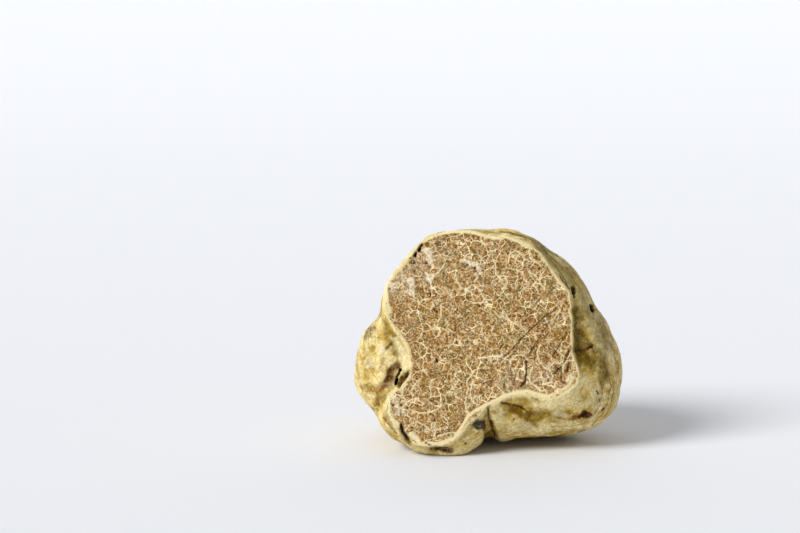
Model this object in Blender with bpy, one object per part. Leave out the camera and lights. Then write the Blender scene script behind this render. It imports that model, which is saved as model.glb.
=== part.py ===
"""The larger half of a white truffle, cut across with a knife and resting on its rounded underside.

The fungus grew as one piece, so it is one closed solid: a lumpy body, lofted from the flat cut
face back through two unlike outlines to a round end, with the furrows and dents that its lobes
leave between them, and two low spots underneath, pressed flat where it stands.

Body frame, in millimetres: across to the right, up along the cut face, and back into the body,
all measured from the middle of the cut face. World frame, in metres: +Z up, the cut face looks
towards -Y and leans back, and the origin is under the middle of the body, on the table.
"""

import math

import bmesh
import bpy
import numpy as np
from mathutils import Vector, noise

MM = 0.001
NODE = "truffle_half"

# Driving dimensions, in millimetres and degrees.
LEAN = 12.0  # how far the cut face leans back from upright
BODY_DEPTH = 36.0  # from the cut face to the hindmost point
STAND_HEIGHT = 24.2  # from the middle of the cut face down to the table

# How finely the body is lofted.
ROUND_POINTS = 132
FRONT_RINGS = 11
BACK_RINGS = 28
CURVE_STEPS = 24  # points on the smooth curve between two points of an outline

# The knife's outline: (across, up) in millimetres, anticlockwise from the right.
CUT_OUTLINE = (
    (19.0, 1.0), (18.6, 4.6), (18.3, 7.6), (17.6, 9.4), (15.6, 11.9), (14.0, 14.6), (12.6, 16.6),
    (10.8, 17.8), (8.8, 18.5), (7.0, 19.4), (5.4, 19.9), (3.6, 19.3), (2.0, 19.7), (-1.0, 20.9),
    (-4.6, 21.2), (-8.4, 20.2), (-11.4, 18.7), (-14.0, 15.8), (-16.6, 13.0), (-18.2, 10.8),
    (-18.8, 7.6), (-18.5, 4.4), (-17.3, 1.8), (-15.2, -0.7), (-13.8, -3.2), (-13.6, -5.6),
    (-14.4, -8.2), (-15.9, -10.3), (-17.6, -11.6), (-18.2, -14.4), (-17.0, -17.6), (-14.9, -20.5),
    (-12.4, -22.0), (-8.8, -22.1), (-5.6, -21.2), (-3.4, -19.4), (-1.8, -16.9), (0.2, -15.2),
    (1.7, -14.3), (3.4, -13.4), (6.2, -12.0), (9.2, -11.5), (12.0, -12.4), (14.2, -12.6),
    (17.2, -11.5), (19.2, -9.9), (19.9, -7.2), (19.3, -4.2), (19.0, -1.6),
)

# The outline where the body is widest, seen square on to the cut.
GIRTH_OUTLINE = (
    (28.7, -0.3), (27.3, 2.9), (25.1, 6.1), (22.8, 9.4), (20.5, 12.3), (17.9, 14.9), (15.4, 17.0),
    (13.2, 18.9), (11.0, 20.5), (8.4, 21.5), (4.4, 21.6), (-0.6, 21.5), (-5.6, 21.4), (-9.0, 20.4),
    (-12.0, 18.5), (-14.6, 15.7), (-17.0, 12.9), (-18.6, 10.6), (-19.1, 7.4), (-19.6, 4.8),
    (-21.4, 2.5), (-23.3, 0.4), (-24.6, -2.2), (-25.3, -5.4), (-25.3, -8.6), (-24.4, -11.2),
    (-22.6, -13.3), (-20.9, -15.0), (-20.2, -17.2), (-18.6, -19.4), (-15.6, -21.6), (-12.2, -23.3),
    (-8.0, -24.1), (-3.0, -24.2), (-0.4, -22.9), (1.3, -21.9), (2.2, -20.6), (2.7, -19.5),
    (3.4, -20.4), (4.6, -21.5), (8.6, -20.8), (13.6, -20.1), (19.4, -19.8), (23.2, -19.1),
    (26.4, -17.4), (28.8, -14.4), (29.8, -10.8), (30.0, -7.0), (29.6, -3.6),
)

# The outline that the body turns to behind, before the rounding of its back is taken off it.
REAR_OUTLINE = (
    (27.5, 1.0), (24.5, 9.0), (18.0, 15.5), (10.0, 18.5), (4.0, 17.0), (-2.0, 18.5), (-9.0, 19.5),
    (-15.5, 15.5), (-20.5, 9.5), (-24.0, 2.0), (-25.5, -5.5), (-23.5, -13.5), (-18.0, -20.0),
    (-10.5, -23.0), (-2.5, -22.0), (5.0, -21.5), (12.5, -24.0), (20.5, -22.0), (26.0, -15.5),
    (28.5, -7.0),
)

# How far behind the cut the body is widest: (angle in degrees from the right, depth).
GIRTH_DEPTH = (
    (0, 13.0), (35, 8.5), (70, 6.5), (100, 4.5), (140, 3.5), (160, 4.5), (180, 10.0), (205, 11.0),
    (222, 5.5), (255, 4.5), (272, 6.0), (284, 9.5), (310, 11.5), (335, 13.5),
)
SHOULDER = 0.30  # how square the body turns from the cut to its widest, as a share of that depth
REAR_REACHED = 0.70  # share of the way back by which the body has the rear outline
EVEN_START = 0.50  # share of the way back from which its end evens out to a plain round one
ROUNDNESS = 0.78  # below 1 the back is fuller than an egg's end, above 1 more pointed

# Furrows between the lobes beside the cut: points (across, up, depth there), half width.
FURROWS = (
    (((-19.2, 4.6, 0.3), (-18.2, 1.2, 0.9), (-16.4, -2.2, 1.4), (-16.0, -6.4, 2.2),
      (-17.0, -9.6, 3.2)), 1.5),
    (((-17.2, -10.2, 3.0), (-19.2, -12.8, 1.7), (-20.8, -14.8, 0.4)), 1.1),
    (((1.9, -15.2, 0.8), (1.9, -16.6, 1.5), (2.4, -18.4, 1.9), (2.7, -20.4, 1.2)), 0.8),
    (((6.0, -14.4, 0.5), (8.6, -15.0, 1.1), (12.6, -16.4, 1.1), (17.6, -16.2, 0.7)), 1.2),
    (((20.0, 3.6, 0.7), (20.0, -1.6, 1.9), (21.6, -5.4, 1.3)), 2.3),
    (((9.4, 20.2, 0.4), (14.2, 15.8, 0.7), (18.6, 10.4, 0.5)), 1.0),
)
FURROW_START = 0.8  # depth behind the cut by which they press in fully
FURROW_FADE, FURROW_END = 9.0, 15.0  # depths between which they fade out

# The lobes that swell round the back: middle of each (across, up, back).
BACK_LOBES = (
    (-13.0, 12.0, 19.0), (9.0, 15.0, 20.0), (23.0, 1.0, 20.0), (14.0, -15.0, 25.0),
    (-10.0, -15.0, 25.0), (-22.0, -3.0, 17.0), (-3.0, 2.0, 35.0),
)

# The creases between those lobes.
CREASE_DEPTH = 2.2
CREASE_WIDTH = 4.2
CREASE_START, CREASE_FULL = 8.0, 20.0  # depths between which they begin
CREASE_WANDER = 5.0  # how far they stray from straight
WANDER_LENGTH = 15.0  # the length over which they stray
WANDER_SEEDS = (11.3, 27.9, 43.1)  # one for each direction
CREASE_MEAN, CREASE_VARIETY = 0.7, 0.6  # their depth along the way, as shares of the full depth
CREASE_SEED = 5.7
EASE_START = 9.0  # depth from which the skin is eased, so that no lobe meets the next in a fold
EASE_SHARE = 0.5  # how far each point then moves towards the middle of its neighbours
EASE_ROUNDS = 3

# Shallow swells all over the skin, with finer ones on them.
SWELLS = ((0.75, 10.0), (0.3, 4.2))  # (height, length)
SWELL_START = 5.0  # depth by which they are at full height

BEHIND_CUT = 0.05  # the skin stays at least this far behind the plane of the cut
ON_TABLE = 0.02  # points nearer to the table than this are put on it

SKIN_COLOUR = (0.62, 0.50, 0.27, 1.0)
SKIN_ROUGHNESS = 0.7
SHARP_ANGLE = 40.0  # degrees; only the knife's edge and the rims of the flat spots are sharper


def clear_scene():
    """Removes whatever the scene holds."""
    for obj in list(bpy.data.objects):
        bpy.data.objects.remove(obj)


def ease(x):
    """A smooth step from 0 at x = 0 to 1 at x = 1."""
    x = np.clip(x, 0.0, 1.0)
    return x * x * (3.0 - 2.0 * x)


def smooth_outline(points):
    """A closed Catmull-Rom curve through the outline's points."""
    knots = np.array(points, float)
    before, after = np.roll(knots, 1, axis=0), np.roll(knots, -1, axis=0)
    beyond = np.roll(knots, -2, axis=0)
    spans = []
    for t in np.linspace(0.0, 1.0, CURVE_STEPS, endpoint=False):
        spans.append(
            0.5
            * (
                2.0 * knots
                + (after - before) * t
                + (2.0 * before - 5.0 * knots + 4.0 * after - beyond) * t**2
                + (3.0 * knots - before - 3.0 * after + beyond) * t**3
            )
        )
    return np.stack(spans, axis=1).reshape(-1, 2)


def radius_at(outline, angles):
    """The outline's radius at each angle about the body's axis."""
    around = np.arctan2(outline[:, 1], outline[:, 0])
    order = np.argsort(around)
    radii = np.hypot(outline[:, 0], outline[:, 1])
    return np.interp(angles, around[order], radii[order], period=2.0 * math.pi)


def mean_outline(first, second):
    """The outline halfway between two, at the angles of the first one's points."""
    around = np.arctan2(first[:, 1], first[:, 0])
    radius = (radius_at(first, around) + radius_at(second, around)) / 2.0
    return np.column_stack([radius * np.cos(around), radius * np.sin(around)])


def even_angles(outline, count):
    """Angles that step evenly along the outline, so that its notches get as many points as its lobes."""
    closed = np.vstack([outline, outline[:1]])
    run = np.concatenate([[0.0], np.cumsum(np.hypot(*np.diff(closed, axis=0).T))])
    stops = np.linspace(0.0, run[-1], count, endpoint=False)
    across = np.interp(stops, run, closed[:, 0])
    up = np.interp(stops, run, closed[:, 1])
    return np.sort(np.arctan2(up, across))


def loft_rings():
    """The body's rings from the cut to the last one before its hindmost point, in the body frame."""
    cut = smooth_outline(CUT_OUTLINE)
    girth = smooth_outline(GIRTH_OUTLINE)
    rear = smooth_outline(REAR_OUTLINE)
    angles = even_angles(mean_outline(cut, girth), ROUND_POINTS)
    cut_radius, girth_radius, rear_radius = (radius_at(o, angles) for o in (cut, girth, rear))
    table = np.array(GIRTH_DEPTH, float)
    girth_depth = np.interp(angles, np.radians(table[:, 0]), table[:, 1], period=2.0 * math.pi)

    rings = []
    for t in np.linspace(0.0, 1.0, FRONT_RINGS, endpoint=False):
        turn, rest = 2.0 * t * (1.0 - t), t * t
        radius = cut_radius * (1.0 - t) ** 2 + girth_radius * (turn + rest)
        rings.append((radius, girth_depth * (turn * SHOULDER + rest)))
    for t in np.linspace(0.0, math.pi / 2.0, BACK_RINGS, endpoint=False):
        share = math.sin(t)
        outline = girth_radius + (rear_radius - girth_radius) * ease(share / REAR_REACHED)
        evened = ease((share - EVEN_START) / (1.0 - EVEN_START))
        outline += (rear_radius.mean() - outline) * evened
        depth = girth_depth + (BODY_DEPTH - girth_depth) * share
        rings.append((outline * math.cos(t) ** ROUNDNESS, depth))
    return [
        np.column_stack([radius * np.cos(angles), radius * np.sin(angles), depth])
        for radius, depth in rings
    ]


def loft_body(rings):
    """A bmesh of the lofted body, with one flat face across the cut and a fan round its hindmost point."""
    body = bmesh.new()
    loops = [[body.verts.new(point) for point in ring] for ring in rings]
    hindmost = body.verts.new((0.0, 0.0, BODY_DEPTH))
    body.faces.new(loops[0])
    for i in range(ROUND_POINTS):
        j = (i + 1) % ROUND_POINTS
        for front, behind in zip(loops, loops[1:]):
            body.faces.new((front[j], front[i], behind[i], behind[j]))
        body.faces.new((loops[-1][j], loops[-1][i], hindmost))
    bmesh.ops.recalc_face_normals(body, faces=body.faces)
    return body


def press_of_path(points, path, half_width):
    """How deep a furrow along a path presses in at each (across, up) point: most on the path itself."""
    path = np.array(path)
    pressed = np.zeros(len(points))
    for start, end in zip(path, path[1:]):
        along = (end - start)[:2]
        share = np.clip((points - start[:2]) @ along / (along @ along), 0.0, 1.0)
        away = np.linalg.norm(points - start[:2] - share[:, None] * along, axis=1)
        depth = start[2] + (end[2] - start[2]) * share
        pressed = np.maximum(pressed, depth * np.exp(-((away / half_width) ** 2)))
    return pressed


def press_furrows(points):
    """How deep the furrows beside the cut press in at each point."""
    pressed = np.zeros(len(points))
    for path, half_width in FURROWS:
        pressed = np.maximum(pressed, press_of_path(points[:, :2], path, half_width))
    begun = ease(points[:, 2] / FURROW_START)
    faded = ease((points[:, 2] - FURROW_FADE) / (FURROW_END - FURROW_FADE))
    return pressed * begun * (1.0 - faded)


def noise_at(points, length, seed=0.0):
    """Smooth noise between -1 and 1 that turns over about once in each length."""
    offset = Vector((seed, seed, seed))
    return np.array([noise.noise(Vector(point) / length + offset) for point in points])


def press_creases(points):
    """How deep the creases between the lobes of the back press in: most where two lobes are equally near."""
    wander = [noise_at(points, WANDER_LENGTH, seed) for seed in WANDER_SEEDS]
    strayed = points + CREASE_WANDER * np.column_stack(wander)
    gaps = np.linalg.norm(strayed[:, None] - np.array(BACK_LOBES)[None], axis=2)
    gaps.sort(axis=1)
    between = np.exp(-(((gaps[:, 1] - gaps[:, 0]) / CREASE_WIDTH) ** 2))
    begun = ease((points[:, 2] - CREASE_START) / (CREASE_FULL - CREASE_START))
    uneven = CREASE_MEAN + CREASE_VARIETY * noise_at(points, WANDER_LENGTH, CREASE_SEED)
    return CREASE_DEPTH * between * begun * uneven


def swell(points):
    """The height of the shallow swells at each point."""
    height = sum(tall * noise_at(points, length) for tall, length in SWELLS)
    return height * ease(points[:, 2] / SWELL_START)


def shape_skin(body):
    """Presses the furrows and creases into the skin and raises its swells. The cut's own edge stays."""
    body.normal_update()
    skin = [vertex for vertex in body.verts if vertex.co.z > 0.0]
    points = np.array([vertex.co for vertex in skin])
    rise = swell(points) - press_creases(points) - press_furrows(points)
    for vertex, height in zip(skin, rise):
        vertex.co += vertex.normal * height
        vertex.co.z = max(vertex.co.z, BEHIND_CUT)
    back = [vertex for vertex in skin if vertex.co.z > EASE_START]
    for _ in range(EASE_ROUNDS):
        bmesh.ops.smooth_vert(
            body, verts=back, factor=EASE_SHARE, use_axis_x=True, use_axis_y=True, use_axis_z=True
        )


def stand_on_table(body):
    """Turns the body into the world frame and cuts flat what would sink into the table."""
    lean = math.radians(LEAN)
    for vertex in body.verts:
        across, up, back = vertex.co
        vertex.co = (
            across,
            back * math.cos(lean) + up * math.sin(lean),
            up * math.cos(lean) - back * math.sin(lean) + STAND_HEIGHT,
        )
    bmesh.ops.recalc_face_normals(body, faces=body.faces)
    cut = bmesh.ops.bisect_plane(
        body,
        geom=body.verts[:] + body.edges[:] + body.faces[:],
        dist=ON_TABLE,
        plane_co=(0.0, 0.0, 0.0),
        plane_no=(0.0, 0.0, -1.0),
        clear_outer=True,
    )
    rim = [item for item in cut["geom_cut"] if isinstance(item, bmesh.types.BMEdge)]
    bmesh.ops.holes_fill(body, edges=rim)
    for vertex in body.verts:
        if vertex.co.z < ON_TABLE:
            vertex.co.z = 0.0
    bmesh.ops.recalc_face_normals(body, faces=body.faces)


def centre_and_scale(body):
    """Moves the origin under the middle of the body and turns millimetres into metres."""
    points = np.array([vertex.co for vertex in body.verts])
    low, high = points.min(axis=0), points.max(axis=0)
    middle = Vector(((low[0] + high[0]) / 2.0, (low[1] + high[1]) / 2.0, low[2]))
    for vertex in body.verts:
        vertex.co = (vertex.co - middle) * MM


def skin_material():
    """The dull, pale ochre skin."""
    material = bpy.data.materials.new("truffle_skin")
    material.use_nodes = True
    shader = material.node_tree.nodes["Principled BSDF"]
    shader.inputs["Base Color"].default_value = SKIN_COLOUR
    shader.inputs["Roughness"].default_value = SKIN_ROUGHNESS
    shader.inputs["Metallic"].default_value = 0.0
    return material


def main():
    """Builds the half truffle."""
    clear_scene()
    collection = bpy.data.collections.new("white_truffle")
    bpy.context.scene.collection.children.link(collection)
    body = loft_body(loft_rings())
    shape_skin(body)
    stand_on_table(body)
    centre_and_scale(body)
    mesh = bpy.data.meshes.new(NODE)
    body.to_mesh(mesh)
    body.free()
    mesh.materials.append(skin_material())
    truffle = bpy.data.objects.new(NODE, mesh)
    collection.objects.link(truffle)
    mesh.shade_smooth()
    mesh.set_sharp_from_angle(angle=math.radians(SHARP_ANGLE))


main()
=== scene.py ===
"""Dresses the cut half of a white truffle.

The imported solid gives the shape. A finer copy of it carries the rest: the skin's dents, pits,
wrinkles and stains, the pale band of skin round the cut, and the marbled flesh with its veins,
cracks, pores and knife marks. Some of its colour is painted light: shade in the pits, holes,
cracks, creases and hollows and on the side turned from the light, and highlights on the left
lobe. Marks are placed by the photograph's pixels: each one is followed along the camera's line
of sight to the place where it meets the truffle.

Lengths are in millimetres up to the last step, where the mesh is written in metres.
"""

import logging
import math
from dataclasses import dataclass, field
from enum import Enum

import bpy
import numpy as np
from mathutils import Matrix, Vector, noise
from mathutils.bvhtree import BVHTree
from mathutils.kdtree import KDTree


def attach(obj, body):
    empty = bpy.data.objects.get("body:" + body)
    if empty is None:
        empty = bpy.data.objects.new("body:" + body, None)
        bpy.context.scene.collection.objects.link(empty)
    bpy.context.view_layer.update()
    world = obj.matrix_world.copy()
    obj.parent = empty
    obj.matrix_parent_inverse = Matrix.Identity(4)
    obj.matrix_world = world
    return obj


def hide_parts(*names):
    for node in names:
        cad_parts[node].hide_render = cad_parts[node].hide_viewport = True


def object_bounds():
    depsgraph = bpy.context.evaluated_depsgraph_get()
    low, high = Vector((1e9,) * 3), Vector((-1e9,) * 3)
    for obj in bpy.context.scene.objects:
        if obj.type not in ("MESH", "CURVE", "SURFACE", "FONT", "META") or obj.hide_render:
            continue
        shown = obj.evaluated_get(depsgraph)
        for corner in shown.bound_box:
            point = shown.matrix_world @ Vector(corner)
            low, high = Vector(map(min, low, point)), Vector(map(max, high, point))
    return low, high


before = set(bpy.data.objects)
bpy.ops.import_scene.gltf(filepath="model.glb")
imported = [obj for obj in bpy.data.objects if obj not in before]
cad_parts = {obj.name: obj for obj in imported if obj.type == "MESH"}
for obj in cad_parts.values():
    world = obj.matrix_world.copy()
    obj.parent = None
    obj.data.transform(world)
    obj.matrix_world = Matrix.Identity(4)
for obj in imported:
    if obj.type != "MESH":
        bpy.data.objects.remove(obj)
CAD_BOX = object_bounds()

MM = 0.001
NODE = "truffle_half"
BODY = "root"

log = logging.getLogger("truffle")

Array = np.ndarray
Pixel = tuple[float, float]
Socket = bpy.types.NodeSocket


class Layer(Enum):
    """What a mark paints on the surface; the value names the mesh attribute that holds it."""

    VEIN = "vein"
    GREY = "grey"
    OLIVE = "olive"
    PALE = "pale"
    CREAM = "cream"
    OCHRE = "ochre"
    RUST = "rust"
    BROWN = "brown"
    SOIL = "soil"
    DARK = "dark"


RIM_ATTRIBUTE = "rim_mm"  # on the cut: how far inside its rim; on the skin: how far behind, below 0
HOLLOW_ATTRIBUTE = "hollow"  # 1 in creases and pits, 0 on ridges, a half where the skin is even


@dataclass(frozen=True)
class Mark:
    """A stroke or spot on the truffle.

    Args:
        layer: what it paints.
        path: the photograph's pixels that it runs along; one pixel makes a spot.
        width: half its width, in millimetres.
        strength: how strongly it paints, up to 1.
        depth: how deep it presses in, in millimetres.
        ragged: how much its edge wanders, as a share of its width.
        soft: the share of its width over which it fades out.
    """

    layer: Layer
    path: tuple[Pixel, ...]
    width: float
    strength: float = 1.0
    depth: float = 0.0
    ragged: float = 0.3
    soft: float = 0.5


def strokes(layer: Layer, *rows: tuple) -> tuple[Mark, ...]:
    """Marks of one layer, from rows that hold the rest of each one's values in their order."""
    return tuple(Mark(layer, *row) for row in rows)


# Brighter veins that stand out from the fine net.
VEINS: tuple[tuple[Pixel, ...], ...] = (
    ((473, 285), (480, 290), (484, 299), (492, 300)),
    ((455, 273), (457, 281), (461, 287), (466, 290), (473, 283), (478, 277)),
    ((466, 290), (478, 297)),
    ((472, 303), (482, 303), (485, 299)),
    ((499, 282), (501, 276), (505, 276), (507, 281), (503, 289)),
    ((502, 316), (511, 322), (518, 325), (528, 332)),
    ((494, 311), (500, 318), (504, 312), (510, 321), (512, 331)),
    ((508, 262), (510, 254), (515, 251), (521, 253), (524, 259), (523, 264)),
    ((520, 257), (517, 255), (516, 260), (521, 262)),
    ((528, 250), (531, 259), (537, 262), (541, 266)),
    ((545, 270), (541, 275), (539, 280), (535, 275), (529, 272)),
    ((517, 272), (523, 272), (524, 280), (530, 283)),
    ((545, 280), (545, 285), (544, 290)),
    ((562, 303), (560, 311), (553, 319), (546, 323)),
    ((545, 318), (549, 325), (551, 334)),
    ((450, 290), (452, 298), (444, 287)),
    ((441, 305), (441, 316), (438, 322)),
    ((404, 281), (398, 288), (390, 286)),
    ((445, 263), (441, 269), (437, 274)),
    ((431, 263), (433, 268), (440, 268)),
    ((478, 357), (485, 358), (492, 356), (500, 357)),
    ((503, 358), (510, 361), (517, 355), (524, 355), (528, 360)),
    ((510, 366), (514, 372), (517, 379), (525, 382), (534, 385), (541, 391), (546, 390)),
    ((533, 360), (533, 366), (531, 371)),
    ((540, 345), (537, 353), (539, 361), (544, 367), (550, 370), (553, 377)),
    ((556, 349), (551, 356), (552, 361), (560, 364), (565, 358), (559, 352), (556, 349)),
    ((567, 361), (563, 367), (563, 372)),
    ((475, 370), (467, 381), (468, 389), (465, 403), (467, 412), (471, 416)),
    ((472, 384), (470, 392), (472, 401), (478, 405)),
    ((447, 392), (454, 392), (456, 397), (462, 400)),
    ((412, 411), (421, 413), (431, 412), (438, 409), (443, 403)),
    ((404, 406), (407, 402), (413, 399), (419, 398)),
    ((406, 402), (402, 393), (404, 387), (407, 384)),
    ((413, 396), (411, 391), (416, 383), (420, 379)),
    ((430, 388), (431, 381), (435, 379)),
    ((440, 356), (441, 361), (446, 358)),
    ((438, 436), (448, 433), (457, 433), (462, 426), (467, 417)),
    ((416, 421), (424, 425), (430, 430)),
)

# White, star-like meeting points of veins and pale patches on the cut.
WHITE_PATCHES = strokes(
    Layer.PALE,
    (((430, 278),), 0.7, 1, 0, 0.9),
    (((426, 273), (430, 279), (434, 275)), 0.34),
    (((430, 279), (431, 284), (432, 291)), 0.24),
    (((412, 292), (411, 280)), 0.7, 0.9, 0, 1.2),
    (((405, 293), (412, 290), (416, 286)), 0.2, 0.6),
    (((466, 289), (466, 293)), 0.34, 0.7, 0, 0.8),
    (((427, 249), (429, 257)), 0.9, 1, 0, 1),
    (((466, 262), (477, 265), (480, 270), (479, 275)), 0.6, 0.95, 0, 1.2),
    (((522, 263), (523, 266)), 0.28, 0.9),
    (((529, 271), (530, 275)), 0.26, 0.8),
    (((563, 316), (565, 319)), 0.3, 0.8),
    (((545, 318),), 0.24, 0.8),
    (((478, 358), (492, 357)), 0.16, 0.7, 0, 0.9),
    (((495, 358), (502, 355)), 0.36, 0.8, 0, 1),
    (((510, 362),), 0.4, 0.85, 0, 0.7),
    (((544, 380),), 1.3, 0.4, 0, 0.7, 0.9),
    (((548, 366),), 0.7, 0.45, 0, 0.7, 0.9),
    (((395, 400), (398, 413)), 1, 0.6, 0, 1.1, 0.7),
    (((403, 409), (405, 415)), 0.5, 0.9, 0, 1.3),
    (((414, 434), (418, 440)), 0.6, 0.7, 0, 0.7),
    (((434, 427),), 0.8, 0.45, 0, 0.7, 0.9),
    (((388, 283), (392, 289)), 0.8, 0.6, 0, 1.2, 0.8),
    (((404, 276), (397, 284)), 0.7, 0.5, 0, 1.4, 0.8),
)

# The cream skin in section, where it is thick.
SKIN_BAND = (
    *strokes(
        Layer.CREAM,
        (((400, 262), (391, 275), (386, 288), (387, 300), (390, 312)), 0.42, 0.9),
        (((440, 233.5), (455, 231.5), (472, 232), (482, 234.5)), 0.42),
        (((395, 389), (389, 397), (387, 409), (390, 419), (399, 425)), 0.62, 0.9),
        (((410, 434), (420, 443), (438, 444), (453, 439)), 0.5, 0.9, 0, 0.5),
        (((453, 439), (461, 428), (469, 415), (483, 406), (500, 398)), 0.4, 0.9),
        (((502, 396), (518, 392), (528, 391), (541, 395), (549, 396)), 0.44, 0.95),
        (((549, 396), (561, 391), (568, 386), (574, 378)), 0.4, 0.7, 0, 0.5),
        (((481, 234), (496, 238), (505, 236), (517, 241), (529, 245)), 0.34, 0.8),
        (((394, 330), (404, 340), (408, 352), (410, 368)), 0.4, 0.85, 0, 0.5),
    ),
    *strokes(Layer.PALE, (((566, 381), (571, 376)), 0.4, 0.7, 0, 1)),
)

# Broad differences in tone over the cut.
BROAD_TONES = (
    *strokes(
        Layer.PALE,
        (((397, 285), (413, 268), (440, 256)), 4.5, 0.12, 0, 0.5, 0.95),
        (((505, 385), (545, 378)), 3.5, 0.1, 0, 0.5, 0.95),
    ),
    *strokes(
        Layer.OCHRE,
        (((393, 318), (405, 345), (425, 375)), 3.5, 0.2, 0, 0.5, 0.95),
        (((556, 318), (556, 350)), 3.5, 0.18, 0, 0.5, 0.95),
    ),
)

# Holes and pores in the cut: near-black inside as painted shade, with brown, rust and ochre spots.
PORES = (
    # near-black: painted shade inside the holes and pores
    *strokes(
        Layer.DARK,
        (((421, 245), (419, 250)), 0.46, 1, 0.7, 0.3, 0.4),
        (((416, 253), (415, 256)), 0.36, 1, 0.6, 0.3, 0.4),
        (((411, 262), (413, 260), (415, 263), (413, 264), (411, 262)), 0.14, 0.8, 0.3),
        (((413, 272), (415, 271)), 0.16, 0.8, 0.2),
        (((427, 263),), 0.3, 1, 0.3, 0.2, 0.6),
        (((430, 267),), 0.24, 1, 0.3, 0.2, 0.6),
        (((467, 265),), 0.32, 1, 0.3, 0.2, 0.6),
        (((475, 268),), 0.36, 1, 0.3, 0.2, 0.6),
        (((480, 276),), 0.3, 1, 0.3, 0.2, 0.6),
        (((473, 283),), 0.28, 1, 0.3, 0.2, 0.6),
        (((437, 312),), 0.34, 1, 0.3, 0.2, 0.6),
        (((437, 361),), 0.44, 1, 0.3, 0.2, 0.6),
        (((393, 405),), 0.3, 1, 0.3, 0.2, 0.6),
        (((401, 405),), 0.34, 1, 0.3, 0.2, 0.6),
    ),
    *strokes(
        Layer.BROWN,
        (((426, 443), (430, 445)), 0.3, 0.8, 0.05, 0.7),
        (((451, 300), (448, 306)), 0.3, 0.5, 0, 0.8, 0.9),
        (((517, 288), (517, 295)), 0.26, 0.55, 0, 0.8, 0.9),
        (((390, 289),), 0.3, 0.8, 0.1, 0.6),
        (((491, 256), (491, 260)), 0.3, 0.6, 0.1, 0.8),
        (((533, 250),), 0.3, 0.8, 0.1, 0.6),
        (((545, 268), (549, 270)), 0.5, 0.5, 0, 0.8, 0.9),
        (((463, 349), (469, 343)), 0.8, 0.4, 0.1, 0.9, 0.9),
    ),
    *strokes(
        Layer.RUST,
        (((447, 292), (446, 300)), 0.7, 0.35, 0, 0.9, 0.9),
        (((459, 297), (458, 305)), 0.4, 0.45, 0, 0.9, 0.9),
        (((427, 286),), 0.4, 0.45, 0, 0.9, 0.9),
        (((514, 300), (514, 315)), 0.7, 0.3, 0, 0.9, 0.9),
        (((559, 357),), 0.4, 0.8, 0, 0.5, 0.9),
        (((530, 388),), 0.4, 0.6, 0, 0.6, 0.9),
        (((402, 404),), 0.5, 0.7, 0, 0.6, 0.9),
    ),
    *strokes(
        Layer.OCHRE,
        (((428, 245),), 0.62, 1, 0.25, 0.4),
        (((445, 239),), 0.36, 0.7, 0.1, 0.5),
    ),
)

# Marks of the knife, and the cracks where it tore the flesh.
KNIFE_MARKS = (
    *strokes(
        Layer.BROWN,
        (((504, 358), (515, 346), (529, 331), (544, 317), (557, 309)), 0.16, 1, 0.12),
        (((509, 359), (521, 346), (535, 332), (550, 321)), 0.13, 0.65, 0.06),
        (((527, 358), (533, 347), (542, 334), (549, 323)), 0.16, 0.85, 0.12),
        (((531, 353), (540, 340)), 0.13, 0.75, 0.08),
        (((553, 357), (560, 344), (567, 333)), 0.16, 0.85, 0.12),
        (((565, 360), (569, 351)), 0.27, 1, 0.2),
        (((525, 382), (521, 386)), 0.33, 0.95, 0.3, 0.6),
        (((554, 374), (561, 367)), 0.29, 0.95, 0.2, 0.6),
        (((569, 364), (567, 372)), 0.33, 1, 0.2, 0.6),
        (((504, 382), (505, 390)), 0.15, 0.85, 0.15),
        (((536, 352), (534, 360)), 0.15, 0.85, 0.15),
        (((532, 351), (534, 346)), 0.19, 0.95, 0.15),
        (((552, 357), (555, 350)), 0.19, 0.95, 0.15),
        (((556, 367), (560, 370), (558, 375)), 0.18, 0.95, 0.15),
        (((511, 367), (512, 379)), 0.17, 0.8, 0.12),
        (((519, 367), (520, 375)), 0.16, 0.8, 0.12),
        (((500, 349), (503, 344)), 0.18, 0.85, 0.12),
        (((544, 338), (550, 331)), 0.17, 0.75, 0.12),
        (((547, 352), (543, 345)), 0.17, 0.75, 0.12),
        (((516, 374), (514, 384)), 0.16, 0.75, 0.12),
        (((493, 378), (491, 388)), 0.16, 0.7, 0.1),
    ),
    # near-black: painted shade inside the cracks
    *strokes(
        Layer.DARK,
        (((526, 361), (527, 371), (525, 382)), 0.18, 0.9, 0.45),
        (((562, 369), (562, 382)), 0.15, 0.75, 0.3, 0.5),
    ),
)
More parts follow.
